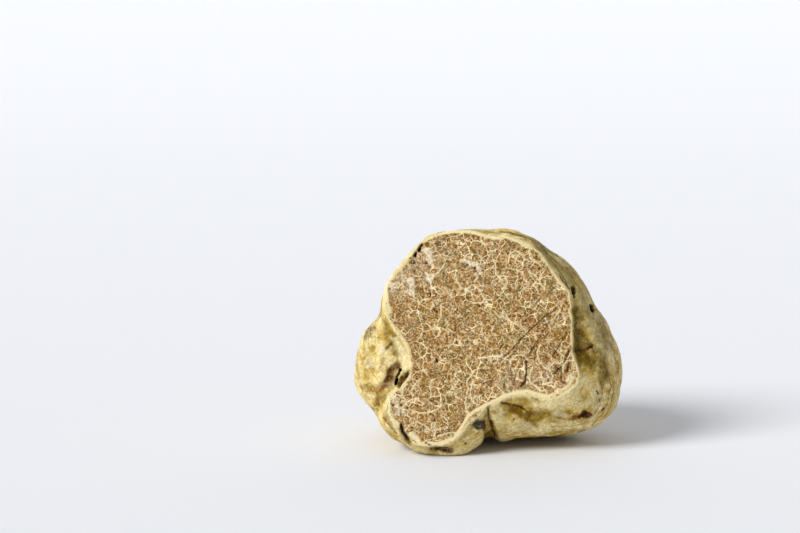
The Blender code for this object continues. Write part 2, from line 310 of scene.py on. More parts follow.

# The left lobe with stains and painted highlights; the fold beside the cut: a slit and a brown hollow,
# with painted shade.
LEFT_LOBE = (
    *strokes(
        Layer.CREAM,
        # painted highlight on the fold's wall beside the cut
        (((397, 340), (403, 352), (405, 366)), 1.5, 0.95, 0, 0.4, 0.9),
        (((392, 393), (386, 402), (386, 412)), 0.5, 0.8, 0, 0.6, 0.9),
        (((387, 422), (394, 430)), 0.7, 0.6, 0, 0.7, 0.9),
        # painted highlight along the lobe's outline
        (((358, 347), (354.5, 356), (353.5, 371), (355.5, 389)), 0.3, 0.6, 0, 0.5, 0.8),
    ),
    *strokes(Layer.RUST, (((394, 368), (388, 378), (383, 386)), 1.7, 0.4, 0, 0.8, 0.9)),
    *strokes(
        Layer.PALE,
        (((395, 375), (394, 384)), 0.34, 0.6),
        # painted highlights on the lobe
        (((381, 350), (384, 351)), 0.8, 0.75, 0, 0.8, 0.9),
        (((368, 364),), 1.5, 0.75, 0, 0.8, 0.9),
    ),
    *strokes(
        Layer.BROWN,
        (((395, 367), (389, 377), (385, 384)), 1.2, 0.75, 0.1, 0.9, 0.9),
        (((391, 371), (385, 381)), 0.8, 1, 0.1, 0.9, 0.8),
        # the slit and the fold's hollow darkened brown: painted shade
        (((400, 370), (397, 377), (396, 384)), 0.3, 0.9, 0.6, 0.4, 0.6),
        (((406, 375), (403, 380), (400, 384)), 0.75, 0.75, 0.3, 0.6, 0.7),
        (((367, 335), (371, 329)), 1.6, 0.75, 0, 0.6, 0.9),
        (((378, 404),), 0.36, 0.8, 0.1, 0.7),
    ),
    *strokes(
        Layer.OLIVE,
        # olive: painted shade in the fold's hollow
        (((407, 373), (404, 378), (400, 385)), 1.1, 1, 0.2, 0.4, 0.6),
        (((392, 343), (386, 349)), 0.4, 0.9, 0.2, 0.6, 0.8),
        # painted shade in the crease towards the lower lobe
        (((380, 398), (377, 405)), 0.5, 0.5, 0.1, 0.7, 0.8),
    ),
    # near-black: painted shade in the slit and in the fold's hollow
    *strokes(
        Layer.DARK,
        (((400.4, 370), (398.6, 374)), 0.3, 1, 0.4, 0.4),
        (((396.6, 380), (395.9, 384)), 0.26, 1, 0.4, 0.4),
        (((406, 374), (404, 377)), 0.5, 0.9, 0.4, 0.4, 0.7),
    ),
    *strokes(
        Layer.OCHRE,
        (((377, 339),), 1, 0.55, 0, 0.8, 0.9),
        (((368, 352), (363, 372), (368, 392)), 2.6, 0.22, 0, 0.8, 0.95),
        (((357, 368), (359, 376)), 0.8, 0.4, 0, 0.8, 0.9),
        (((382, 361), (380, 368)), 0.8, 0.6, 0, 0.8, 0.9),
        (((383, 388), (378, 396), (375, 405)), 0.7, 0.7, 0, 0.6, 0.9),
        (((394, 334),), 1, 0.8, 0, 0.7, 0.9),
        (((372, 348), (375, 345)), 0.9, 0.6, 0.1, 0.8, 0.9),
        (((363, 387), (376, 392)), 1.5, 0.75, 0.1, 0.8, 0.9),
    ),
)

# The torn flap of skin at the lower left, with painted shade in the gap under its edge.
TORN_FLAP = (
    # the olive, the first brown and the near-black run along the flap's edge: painted shade in the gap
    # under it
    *strokes(Layer.OLIVE, (((400, 425), (403, 433), (409, 442)), 0.8, 0.8, 0, 0.4, 0.8)),
    *strokes(
        Layer.BROWN,
        (((401, 424), (403, 432), (410, 442)), 0.5, 0.9, 0.1, 0.4, 0.8),
        (((383, 418), (390, 428), (396, 434)), 0.2, 0.6, 0.2, 0.7),
    ),
    *strokes(Layer.DARK, (((401, 425), (403, 432), (409, 441)), 0.28, 1, 0.45, 0.4, 0.6)),
    *strokes(Layer.OCHRE, (((380, 406), (384, 416), (394, 431)), 0.6, 0.35, 0, 0.8, 0.9)),
)

# The notch underneath with soil held beside it and painted shade in its groove, and the brown recess under
# the lower rim, darkened with painted shade.
NOTCH = (
    # the olive here and the first two browns below: painted shade in the notch's groove
    *strokes(Layer.OLIVE, (((488, 407), (489, 418), (493, 430)), 0.6, 0.5, 0, 0.5, 0.8)),
    *strokes(
        Layer.BROWN,
        (((488, 408), (489, 418)), 0.26, 0.35, 0.3, 0.5, 0.9),
        (((490, 421), (492, 429), (495, 437)), 0.4, 0.85, 0.3, 0.5, 0.9),
        # brown in the recess under the lower rim: painted shade
        (((431, 449), (441, 449.5), (452, 450.5)), 0.85, 0.9, 0.1, 0.4, 0.8),
        (((465, 443),), 0.34, 0.9, 0.1, 0.6),
    ),
    *strokes(
        Layer.SOIL,
        (((476, 424), (483, 427)), 1.3, 1, 0.2, 0.6, 0.4),
        (((478, 433),), 0.3, 0.7, 0.1, 0.8),
    ),
    *strokes(Layer.PALE, (((480, 426), (484, 424)), 0.12, 0.6)),
    # near-black: painted shade in the recess under the lower rim
    *strokes(
        Layer.DARK,
        (((435, 450), (449, 451)), 0.3, 0.6, 0.05, 0.5, 0.8),
        (((437, 447.5), (447, 448)), 0.16, 0.5, 0.05, 0.5, 0.8),
    ),
)

# The lower right: a furrow, the stains along it, a brown sore, and small pits with painted shade.
LOWER_RIGHT = (
    *strokes(
        Layer.CREAM,
        (((545, 402), (562, 401), (578, 385)), 1.5, 0.6, 0, 0.5, 0.9),
        (((505, 430), (540, 427), (578, 425)), 1.4, 0.6, 0, 0.6, 0.9),
        (((553, 413), (563, 415)), 0.9, 0.75, 0, 0.8, 0.9),
    ),
    *strokes(
        Layer.OLIVE,
        (((502, 403), (513, 406), (522, 409), (533, 413)), 0.5, 0.7, 0, 0.5, 0.9),
        (((514, 408), (524, 413), (533, 415)), 0.8, 0.75, 0.1, 0.9, 0.9),
    ),
    *strokes(
        Layer.BROWN,
        (((501, 402.5), (507, 403.5), (513, 404.8), (519, 406.8), (524, 409.5)), 0.26, 0.7, 0.2, 0.7, 0.9),
        (((519, 406.8), (524, 409.5), (528, 413)), 0.4, 0.5, 0.1, 0.7, 0.9),
        (((573, 418), (580, 417)), 0.6, 0.5, 0.1, 0.8, 0.9),
        (((580, 417), (584, 414), (588, 415)), 0.75, 1, 0.3, 0.7, 0.6),
        (((608, 372), (611, 386), (608, 401), (601, 415), (592, 425)), 0.14, 0.35, 0.1, 0.9),
        (((613, 380), (614, 392), (610, 407), (604, 417)), 0.13, 0.35, 0.1, 0.9),
        (((601, 381), (603, 393), (600, 405), (594, 414)), 0.13, 0.3, 0.1, 0.9),
        (((604, 362), (607, 372)), 0.14, 0.4, 0.1, 0.9),
        (((588, 427), (572, 430), (556, 432)), 0.13, 0.3, 0.1, 0.9),
        (((585, 422), (570, 426), (552, 427)), 0.13, 0.3, 0.1, 0.9),
    ),
    *strokes(
        Layer.OCHRE,
        (((514, 409), (520, 413), (527, 418)), 1.3, 1, 0.15, 0.8, 0.8),
        (((529, 419), (537, 427)), 0.9, 0.8, 0.1, 0.8, 0.8),
        (((530, 413), (552, 416), (578, 416)), 0.8, 0.14, 0, 0.8, 0.9),
        (((541, 412), (560, 418), (574, 419)), 0.3, 0.3, 0.1, 0.8, 0.8),
        (((493, 411), (497, 413)), 0.6, 0.8, 0.1, 0.7, 0.8),
        (((532, 398), (539, 401)), 0.36, 0.6, 0, 0.7, 0.8),
    ),
    *strokes(Layer.RUST, (((577, 416), (588, 414)), 1.1, 0.7, 0, 0.8, 0.9)),
    # the sore's dark core, then small pits painted near-black as their shade
    *strokes(
        Layer.DARK,
        (((582, 416), (586, 413)), 0.44, 0.85, 0.1, 0.8, 0.8),
        (((597, 391), (599, 394)), 0.18, 0.9, 0.2),
        (((600, 399), (600, 402)), 0.13, 0.7, 0.1),
        (((602, 410), (604, 408)), 0.24, 0.95, 0.2),
        (((613, 385),), 0.18, 0.6, 0.1),
        (((582, 388),), 0.14, 0.7, 0.1),
        (((581, 391),), 0.12, 0.6, 0.1),
        (((514, 419),), 0.18, 0.8, 0.1),
        (((499, 432),), 0.14, 0.8, 0.1),
    ),
    *strokes(Layer.PALE, (((596, 392), (600, 410), (588, 426)), 2, 0.3, 0, 0.6, 0.95)),
)

# The right side, turned from the light: a grey strip and olive tints, partly painted shade, two pits, and
# the olive hollow, darkened with painted shade, with a small crack in it.
RIGHT_SIDE = (
    # grey strip behind the upper rim: its tint, with painted shade
    *strokes(
        Layer.GREY,
        (((534, 240), (549, 252), (566, 272), (582, 300)), 2.2, 0.85, 0, 0.3, 0.9),
        (((582, 300), (590, 318)), 2.4, 0.5, 0, 0.3, 0.95),
    ),
    # olive: the side's tint, with painted shade, deepest in the hollow beside the cut
    *strokes(
        Layer.OLIVE,
        (((588, 315), (597, 340)), 3, 0.4, 0, 0.6, 0.95),
        (((576, 310), (576, 330), (579, 345)), 1.2, 0.75, 0, 0.4, 0.9),
        (((577, 350), (584, 356), (591, 364)), 2.1, 0.8, 0, 0.35, 0.9),
        (((581, 340), (587, 348)), 1.2, 0.85, 0, 0.4, 0.9),
        (((581, 333), (588, 344), (598, 358), (605, 376)), 2.2, 0.7, 0, 0.35, 0.95),
        (((600, 322), (608, 345)), 2.4, 0.55, 0, 0.4, 0.95),
    ),
    # near-black: painted shade inside the pits and the crack
    *strokes(
        Layer.DARK,
        (((574, 288), (575, 292)), 0.62, 1, 0.6, 0.2, 0.4),
        (((575, 294), (575, 297)), 0.26, 1, 0.3, 0.2),
        (((592, 306), (593, 310)), 0.66, 1, 0.6, 0.2, 0.4),
        (((589, 347), (593, 347)), 0.3, 0.7, 0.1, 0.7, 0.8),
    ),
    *strokes(
        Layer.BROWN,
        (((575, 350), (583, 350), (589, 348), (593, 346)), 0.42, 0.85, 0.2, 0.9, 0.8),
    ),
    *strokes(Layer.OCHRE, (((562, 269),), 0.5, 0.5, 0, 0.7, 0.9)),
)

# Behind the upper rim: the crease and the wrinkles that run along the cut.
UPPER_RIM = (
    *strokes(
        Layer.CREAM,
        (((490, 235), (505, 234), (523, 239)), 0.5, 0.6, 0, 0.5, 0.9),
        (((549, 252), (560, 264), (570, 280)), 0.16, 0.7, 0, 0.7, 0.8),
        (((556, 257), (564, 266)), 0.6, 0.5, 0, 0.7, 0.9),
    ),
    *strokes(
        Layer.BROWN,
        (((500, 232), (510, 232.5), (518, 235), (528, 238), (535, 242)), 0.3, 0.6, 0.1),
        (((541, 247), (551, 256), (560, 265), (567, 274)), 0.14, 0.7, 0.1, 0.6, 0.7),
        (((546, 254), (555, 265), (563, 276), (569, 286)), 0.12, 0.7, 0.1, 0.7, 0.7),
        (((566, 268), (573, 277), (580, 288)), 0.14, 0.6, 0.1, 0.7, 0.8),
    ),
    *strokes(Layer.OCHRE, (((488, 232), (500, 234)), 0.5, 0.5, 0, 0.5, 0.8)),
    # near-black: painted shade in the crease and its wrinkles
    *strokes(
        Layer.DARK,
        (((539, 243), (546, 249)), 0.15, 0.7, 0.2, 0.5),
        (((554, 251), (558, 256)), 0.22, 0.8, 0.3, 0.5),
        (((560, 276), (565, 282), (570, 288)), 0.16, 0.75, 0.2, 0.4),
    ),
)

MARKS: tuple[Mark, ...] = (
    *WHITE_PATCHES,
    *SKIN_BAND,
    *BROAD_TONES,
    *PORES,
    *KNIFE_MARKS,
    *LEFT_LOBE,
    *TORN_FLAP,
    *NOTCH,
    *LOWER_RIGHT,
    *RIGHT_SIDE,
    *UPPER_RIM,
)


def linear(hex_colour: str) -> tuple[float, float, float, float]:
    """Turns an sRGB hex colour into linear values.

    Args:
        hex_colour: six hex digits, such as "c8b27a".

    Returns:
        Red, green, blue and full opacity.
    """
    parts = [int(hex_colour[i : i + 2], 16) / 255.0 for i in (0, 2, 4)]
    turned = [c / 12.92 if c <= 0.04045 else ((c + 0.055) / 1.055) ** 2.4 for c in parts]
    return (*turned, 1.0)


def per_metre(size_mm: float) -> float:
    """The scale of a pattern whose repeat measures this many millimetres."""
    return 1.0 / (size_mm * MM)


def ease(x: Array) -> Array:
    """A smooth step from 0 at x = 0 to 1 at x = 1."""
    x = np.clip(x, 0.0, 1.0)
    return x * x * (3.0 - 2.0 * x)


def noise_at(points: Array, length: float, seed: float = 0.0) -> Array:
    """Smooth noise over the surface.

    Args:
        points: where, in millimetres.
        length: the length over which it turns once, in millimetres.
        seed: picks another pattern.

    Returns:
        A value between -1 and 1 for each point.
    """
    offset = Vector((seed, seed, seed))
    return np.array([noise.noise(Vector(point) / length + offset) for point in points])


class Graph:
    """A material's node tree, to which nodes are added one after the other."""

    def __init__(self, name: str) -> None:
        """Starts a material of this name with an empty tree."""
        self.material = bpy.data.materials.new(name)
        self.material.use_nodes = True
        self.tree = self.material.node_tree
        self.tree.nodes.clear()

    def add(
        self,
        kind: str,
        inputs: dict[str | int, object] | None = None,
        output: str | int = 0,
        **settings: object,
    ) -> Socket:
        """Adds a node with its settings and links.

        Args:
            kind: the node's type, without its "ShaderNode".
            inputs: for each input, a value or the socket that feeds it.
            output: the output to return.
            settings: the node's own properties.

        Returns:
            The output socket.
        """
        node = self.tree.nodes.new("ShaderNode" + kind)
        for name, value in settings.items():
            setattr(node, name, value)
        for key, value in (inputs or {}).items():
            if isinstance(value, Socket):
                self.tree.links.new(value, node.inputs[key])
            else:
                node.inputs[key].default_value = value
        return node.outputs[output] if len(node.outputs) else None


@dataclass(frozen=True)
class View:
    """The camera, and the lines of sight through the photograph's pixels."""

    width: int = 800
    height: int = 533
    sensor: float = 36.0
    pitch: float = 8.2  # degrees that it looks down
    distance: float = 444.0  # to the middle of the cut, along its axis
    pixel: float = 0.2  # millimetres that a pixel covers at that distance
    middle_pixel: Pixel = (478.0, 335.0)  # where the middle of the cut shows
    cut_middle: tuple[float, float, float] = (-2.514, -15.818, 24.2)
    far: float = 20.0  # metres, beyond which nothing shows

    def axes(self) -> tuple[Array, Array, Array]:
        """The camera's right, up and forward directions."""
        pitch = math.radians(self.pitch)
        right = np.array([1.0, 0.0, 0.0])
        up = np.array([0.0, math.sin(pitch), math.cos(pitch)])
        forward = np.array([0.0, math.cos(pitch), -math.sin(pitch)])
        return right, up, forward

    def offset(self, pixel: Pixel) -> tuple[float, float]:
        """How far a pixel is right of and above the frame's middle, in millimetres at the cut."""
        right = pixel[0] - self.width / 2.0
        above = self.height / 2.0 - pixel[1]
        return right * self.pixel, above * self.pixel

    def eye(self) -> Array:
        """The camera's place, in millimetres."""
        right, up, forward = self.axes()
        across, above = self.offset(self.middle_pixel)
        return np.array(self.cut_middle) - forward * self.distance - right * across - up * above

    def sight(self, pixel: Pixel) -> Array:
        """The direction of the line of sight through a pixel."""
        right, up, forward = self.axes()
        across, above = self.offset(pixel)
        line = forward * self.distance + right * across + up * above
        return line / np.linalg.norm(line)

    def build(self) -> bpy.types.Object:
        """Sets up the camera and makes it the scene's.

        Returns:
            The camera.
        """
        data = bpy.data.cameras.new("photo_view")
        data.sensor_width = self.sensor
        data.lens = self.sensor * self.distance / (self.width * self.pixel)
        data.clip_end = self.far
        camera = bpy.data.objects.new("photo_view", data)
        camera.location = self.eye() * MM
        camera.rotation_euler = (math.radians(90.0 - self.pitch), 0.0, 0.0)
        bpy.context.scene.collection.objects.link(camera)
        bpy.context.scene.camera = camera
        return camera


# What each painted layer looks like where it is full.
TINTS: dict[Layer, str] = {
    # grey: a tint, partly painted shade, on the side turned from the light
    Layer.GREY: "b0a26a",
    # olive: the skin's own tint, and painted shade in hollows, folds and the notch
    Layer.OLIVE: "5e480c",
    # pale and cream: veins, white patches and skin in section, and painted highlights on the left lobe
    Layer.PALE: "fbefce",
    Layer.CREAM: "f3e3ae",
    Layer.OCHRE: "86640e",
    Layer.RUST: "9c5a26",
    # brown: stains and knife marks, and painted shade in the notch, the fold's slit and the recess under
    # the lower rim
    Layer.BROWN: "543010",
    Layer.SOIL: "4a4032",
    # near-black: painted shade inside pits, holes, cracks, slits and gaps, and the dark core of the sore
    Layer.DARK: "1a1006",
}


@dataclass(frozen=True)
class Blotch:
    """Patches of another colour.

    Args:
        colour: sRGB hex.
        size: how large they are, in millimetres.
        low: the noise at which they start.
        high: the noise at which they are full.
        seed: picks another pattern.
        most: how strongly they cover, up to 1.
    """

    colour: str
    size: float
    low: float
    high: float
    seed: float
    most: float = 1.0


@dataclass(frozen=True)
class Painted:
    """What both materials share: patterns in the truffle's own space, and the painted layers."""

    broken: float = 0.55  # size of the patches that thin or thicken a painted layer
    broken_range: tuple[float, float] = (0.65, 1.25)
    specked: float = 0.4  # size of the specks that the pale layer is broken into
    least_speck: float = 0.4
    bump: float = 0.08  # height of the grain and the veins or wrinkles, in millimetres

    def noise(
        self,
        graph: Graph,
        place: Socket,
        size: float,
        low: float,
        high: float,
        seed: float,
        detail: float = 2.0,
    ) -> Socket:
        """Smooth noise, cut to a range.

        Args:
            graph: the material's nodes.
            place: where, in metres.
            size: how large its patches are, in millimetres.
            low: the noise that gives 0.
            high: the noise that gives 1.
            seed: picks another pattern.
            detail: how many times finer patterns are added.

        Returns:
            A value between 0 and 1.
        """
        raw = graph.add(
            "TexNoise",
            {"Vector": place, "Scale": per_metre(size), "Detail": detail, "W": seed},
            noise_dimensions="4D",
        )
        return graph.add("MapRange", {"Value": raw, "From Min": low, "From Max": high})

    def mix(self, graph: Graph, amount: Socket, below: Socket, hex_colour: str) -> Socket:
        """Lays a colour over another one by an amount."""
        return graph.add("Mix", {0: amount, 6: below, 7: linear(hex_colour)}, 2, data_type="RGBA")

    def scaled(self, graph: Graph, value: Socket, factor: float | Socket) -> Socket:
        """A value times a factor."""
        return graph.add("Math", {0: value, 1: factor}, operation="MULTIPLY")

    def attribute(self, graph: Graph, name: str) -> Socket:
        """A value that the mesh carries."""
        return graph.add("Attribute", {}, "Fac", attribute_name=name)

    def plain(self, graph: Graph, hex_colour: str) -> Socket:
        """One colour all over, to lay others on."""
        return graph.add("Mix", {0: 0.0, 6: linear(hex_colour)}, 2, data_type="RGBA")

    def blotched(
        self, graph: Graph, place: Socket, colour: Socket, blotches: tuple[Blotch, ...]
    ) -> Socket:
        """Lays blotches over a colour, in their order."""
        for blotch in blotches:
            amount = self.noise(graph, place, blotch.size, blotch.low, blotch.high, blotch.seed)
            colour = self.mix(graph, self.scaled(graph, amount, blotch.most), colour, blotch.colour)
        return colour

    def layers(self, graph: Graph, place: Socket, colour: Socket) -> Socket:
        """Lays the painted layers over a colour, in their order, each one broken up a little."""
        least, most = self.broken_range
        broken = self.noise(graph, place, self.broken, 0.34, 0.64, 11.0)
        broken = graph.add("MapRange", {"Value": broken, "To Min": least, "To Max": most})
        specked = self.noise(graph, place, self.specked, 0.4, 0.58, 13.0)
        specked = graph.add("MapRange", {"Value": specked, "To Min": self.least_speck})
        for layer, tint in TINTS.items():
            amount = self.attribute(graph, layer.value)
            if layer is Layer.PALE:
                amount = self.scaled(graph, amount, specked)
            elif layer not in (Layer.CREAM, Layer.DARK):
                amount = self.scaled(graph, amount, broken)
            colour = self.mix(graph, amount, colour, tint)
        return colour

    def finish(
        self, graph: Graph, colour: Socket, height: Socket, strength: float, surface: dict[str, float]
    ) -> bpy.types.Material:
        """Ends a material with its bump and its shader.

        Args:
            graph: the material's nodes.
            colour: the finished colour.
            height: how high the surface stands, up to about 1.
            strength: how strongly that shows.
            surface: the shader's values that are the same all over.

        Returns:
            The material.
        """
        bump = {"Height": height, "Strength": strength, "Distance": self.bump * MM}
        inputs = {"Base Color": colour, "Normal": graph.add("Bump", bump), **surface}
        graph.add("OutputMaterial", {"Surface": graph.add("BsdfPrincipled", inputs)})
        return graph.material


@dataclass(frozen=True)
class FleshFinish(Painted):
    """Marbled truffle flesh, cut raw with a knife.

    The eye gets moist brown tissue, grained and mottled, under a broken net of thin cream veins,
    and a cream band of skin in section round it.
    """

    tissue: str = "bd8b3e"
    tissue_dark: str = "503108"
    vein: str = "ffedbc"
    band: str = "ead69c"
    blotches: tuple[Blotch, ...] = (
        Blotch("be894c", 9.0, 0.46, 0.62, 4.0),  # pink
        Blotch("b67a32", 3.5, 0.48, 0.66, 5.0),  # rust
        Blotch("9e7e38", 2.6, 0.5, 0.66, 6.0),  # olive
    )
    specks: Blotch = Blotch("ffedbc", 0.34, 0.52, 0.7, 8.0, 0.75)  # veins cut across
    cell: float = 1.75  # width of the net's cells
    fine_cell: float = 1.0  # and of a finer, fainter net's
    fine_strength: float = 0.4
    strong_strength: float = 0.95  # of the veins that stand out
    vein_core: float = 0.035  # half the width over which a vein is brightest
    vein_reach: float = 0.115  # how far from its middle it has faded out
    wander: tuple[tuple[float, float], ...] = ((2.6, 1.6), (0.8, 0.6))  # size, push of the veins' bends
    grain: float = 0.36  # size of the tissue's grain
    grain_dark: float = 0.72  # how much darker it gets the tissue
    shade: float = 0.9  # size of the darker areas
    shade_dark: float = 0.4
    band_width: tuple[float, float] = (0.06, 0.5)  # of the skin in section, where it is full
    band_fade: float = 0.25
    band_wander: float = 2.4  # length over which its width changes
    band_cover: float = 0.92
    roughness: float = 0.5
    ior: float = 1.38
    mirror: float = 0.15  # low, because open pores swallow what a smooth face would mirror

    def net(self, graph: Graph, place: Socket, cell: float, reach: float, seed: float) -> Socket:
        """The net of veins with cells of one size: up to 1 on a vein, 0 beside it.

        Args:
            graph: the material's nodes.
            place: where, in metres, already warped.
            cell: width of a cell, in millimetres.
            reach: how far from its middle a vein has faded out, in millimetres.
            seed: picks another pattern of strong and faint stretches.

        Returns:
            The net's socket.
        """
        edge = graph.add(
            "TexVoronoi", {"Vector": place, "Scale": per_metre(cell)}, feature="DISTANCE_TO_EDGE"
        )
        strength = self.noise(graph, place, 1.3 * cell, 0.38, 0.62, seed)
        widest = reach / cell
        far = graph.add("MapRange", {"Value": strength, "To Min": 0.5 * widest, "To Max": widest})
        fade = {"From Min": self.vein_core / cell, "From Max": far, "To Min": 1.0, "To Max": 0.0}
        line = graph.add("MapRange", {"Value": edge, **fade}, interpolation_type="SMOOTHSTEP")
        shown = graph.add("MapRange", {"Value": strength, "To Min": 0.1, "To Max": 1.0})
        return self.scaled(graph, line, shown)

    def warped(self, graph: Graph, place: Socket) -> Socket:
        """The place pushed about, so that the veins wander."""
        for size, push in self.wander:
            pattern = {"Vector": place, "Scale": per_metre(size), "Detail": 1.0}
            noisy = graph.add("TexNoise", pattern, "Color")
            noisy = graph.add("VectorMath", {0: noisy, 1: (0.5, 0.5, 0.5)}, operation="SUBTRACT")
            noisy = graph.add("VectorMath", {0: noisy, 3: push * MM}, operation="SCALE")
            place = graph.add("VectorMath", {0: place, 1: noisy}, operation="ADD")
        return place

    def build(self) -> bpy.types.Material:
        """Makes the material.

        Returns:
            The flesh material.
        """
        graph = Graph("truffle_flesh_cut_raw")
        place = graph.add("TexCoord", output="Object")
        pushed = self.warped(graph, place)
        coarse = self.net(graph, pushed, self.cell, self.vein_reach, 1.0)
        fine = self.net(graph, pushed, self.fine_cell, 0.7 * self.vein_reach, 2.0)
        fine = self.scaled(graph, fine, self.fine_strength)
        veins = graph.add("Math", {0: coarse, 1: fine}, operation="MAXIMUM")

        # The tissue: patches of other browns, and grain.
        colour = self.blotched(graph, place, self.plain(graph, self.tissue), self.blotches)
        grain = self.noise(graph, place, self.grain, 0.4, 0.62, 3.0, 3.0)
        shade = self.scaled(graph, self.noise(graph, place, self.shade, 0.35, 0.7, 7.0), self.shade_dark)
        dark = graph.add("Math", {0: self.scaled(graph, grain, self.grain_dark), 1: shade})
        colour = self.mix(graph, dark, colour, self.tissue_dark)
        colour = self.blotched(graph, place, colour, (self.specks,))

        # The veins that stand out are painted on the mesh and join the net.
        strong = self.scaled(graph, self.attribute(graph, Layer.VEIN.value), self.strong_strength)
        veins = graph.add("Math", {0: veins, 1: strong}, operation="MAXIMUM")
        colour = self.mix(graph, veins, colour, self.vein)

        # The skin in section: a cream band whose inner edge wanders.
        narrow, wide = self.band_width
        inner = self.noise(graph, place, self.band_wander, 0.3, 0.7, 9.0)
        inner = graph.add("MapRange", {"Value": inner, "To Min": narrow, "To Max": wide})
        outer = graph.add("Math", {0: inner, 1: self.band_fade})
        fade = {"From Min": inner, "From Max": outer, "To Min": self.band_cover, "To Max": 0.0}
        rim = self.attribute(graph, RIM_ATTRIBUTE)
        band = graph.add("MapRange", {"Value": rim, **fade}, interpolation_type="SMOOTHSTEP")
        colour = self.mix(graph, band, colour, self.band)
        colour = self.layers(graph, place, colour)

        height = graph.add("Math", {0: veins, 1: self.scaled(graph, grain, 0.6)}, operation="SUBTRACT")
        surface = {"Roughness": self.roughness, "IOR": self.ior, "Specular IOR Level": self.mirror}
        return self.finish(graph, colour, height, 0.5, surface)


@dataclass(frozen=True)
class SkinFinish(Painted):
    """White truffle skin, brushed clean and dry.

    The eye gets a dull, slightly velvety rind, cream to ochre, greyer and more olive on the side
    turned from the light, partly as painted shade, with fine wrinkles that run along the cut, and
    soil, stains and painted shade in its hollows and wrinkles.
    """

    cream: str = "e6d190"
    light: str = "f4e3aa"  # worn ridges
    hollow: str = "7a6016"  # soil and painted shade, in hollows and wrinkles
    band: str = "eadaa8"  # the rim, where the skin shows in section
    speck: str = "5e4a28"
    blotches: tuple[Blotch, ...] = (
        Blotch("cba63c", 6.0, 0.4, 0.62, 3.0, 0.75),  # yellow areas
        Blotch("a87a35", 4.2, 0.52, 0.7, 4.0, 0.5),  # tan areas
        Blotch("cba63c", 1.5, 0.46, 0.6, 5.0, 0.75),  # yellow mottling
        Blotch("866e28", 1.5, 0.54, 0.72, 6.0, 0.5),  # olive mottling
        Blotch("a87a35", 0.675, 0.52, 0.7, 7.0, 0.5),  # small tan spots
        Blotch("f4e3aa", 1.5, 0.52, 0.66, 10.0, 0.75),  # light mottling
    )
    worn_cover: float = 0.5
    soil_and_shade_cover: float = 0.8
    soil_and_shade_patch: float = 1.5  # size of the patches that the soil and painted shade are broken into
    band_cover: float = 0.85
    band_from: float = -0.6  # behind the cut, where the band starts
    band_full: float = -0.1
    grain: float = 0.42
    grain_tone: tuple[float, float] = (0.7, 1.18)  # how dark and how light it gets the skin
    wrinkle: float = 1.9  # between wrinkles
    wrinkle_patch: float = 8.0  # size of the areas that have them
    wrinkle_cover: float = 0.6
    drawn: tuple[float, float, float] = (0.1, 1.0, 0.1)  # scales that draw them out along the cut
    speck_gap: float = 2.6  # between specks
    speck_size: tuple[float, float] = (0.03, 0.08)  # share of the gap, where full and where ended
    speck_cover: float = 0.7
    roughness: float = 0.6
    ior: float = 1.42
    mirror: float = 0.12
    lean: float = 12.0  # degrees that the cut leans back, which the wrinkles follow

    def wrinkles(self, graph: Graph, place: Socket) -> Socket:
        """Noise squeezed behind the cut and drawn out along it, in some places only."""
        turn = {"Vector": place, "Rotation": (math.radians(self.lean), 0.0, 0.0)}
        turned = graph.add("Mapping", turn, vector_type="POINT")
        drawn = graph.add("VectorMath", {0: turned, 1: self.drawn}, operation="MULTIPLY")
        fine = self.noise(graph, drawn, self.wrinkle, 0.53, 0.64, 1.0, 4.0)
        fine = self.scaled(graph, fine, self.noise(graph, place, self.wrinkle_patch, 0.4, 0.56, 2.0))
        broad = self.noise(graph, drawn, 2.4 * self.wrinkle, 0.5, 0.58, 12.0, 5.0)
        broad = self.scaled(graph, broad, self.attribute(graph, Layer.GREY.value))
        return graph.add("Math", {0: fine, 1: broad}, operation="MAXIMUM")

    def build(self) -> bpy.types.Material:
        """Makes the material.

        Returns:
            The skin material.
        """
        graph = Graph("truffle_skin_brushed_clean")
        place = graph.add("TexCoord", output="Object")
        colour = self.blotched(graph, place, self.plain(graph, self.cream), self.blotches)

        # Worn pale on the ridges, soil with painted shade in the hollows, and specks.
        hollow = self.attribute(graph, HOLLOW_ATTRIBUTE)
        ridge = {"Value": hollow, "From Min": 0.5, "From Max": 0.1, "To Max": self.worn_cover}
        colour = self.mix(graph, graph.add("MapRange", ridge), colour, self.light)
        low = {"Value": hollow, "From Min": 0.5, "From Max": 1.0, "To Max": self.soil_and_shade_cover}
        patchy = self.noise(graph, place, self.soil_and_shade_patch, 0.3, 0.6, 9.0)
        held = self.scaled(graph, graph.add("MapRange", low), patchy)
        colour = self.mix(graph, held, colour, self.hollow)
        gap = {"Vector": place, "Scale": per_metre(self.speck_gap)}
        full, ended = self.speck_size
        speck = {"From Min": full, "From Max": ended, "To Min": self.speck_cover, "To Max": 0.0}
        speck["Value"] = graph.add("TexVoronoi", gap, "Distance")
        colour = self.mix(graph, graph.add("MapRange", speck), colour, self.speck)

        # The rim, where the skin shows in section.
        rim = {"From Min": self.band_from, "From Max": self.band_full, "To Max": self.band_cover}
        rim["Value"] = self.attribute(graph, RIM_ATTRIBUTE)
        colour = self.mix(graph, graph.add("MapRange", rim), colour, self.band)
        colour = self.layers(graph, place, colour)
        # The wrinkles are darkened with the hollow colour: soil and painted shade in their creases.
        wrinkles = self.wrinkles(graph, place)
        colour = self.mix(graph, self.scaled(graph, wrinkles, self.wrinkle_cover), colour, self.hollow)
        grain = self.noise(graph, place, self.grain, 0.34, 0.66, 8.0, 3.0)
        dark, light = self.grain_tone
        tone = graph.add("MapRange", {"Value": grain, "To Min": dark, "To Max": light})
        colour = graph.add("VectorMath", {0: colour, 3: tone}, operation="SCALE")

        height = graph.add("Math", {0: grain, 1: wrinkles}, operation="SUBTRACT")
        surface = {"Roughness": self.roughness, "IOR": self.ior, "Specular IOR Level": self.mirror}
        return self.finish(graph, colour, height, 0.6, surface)


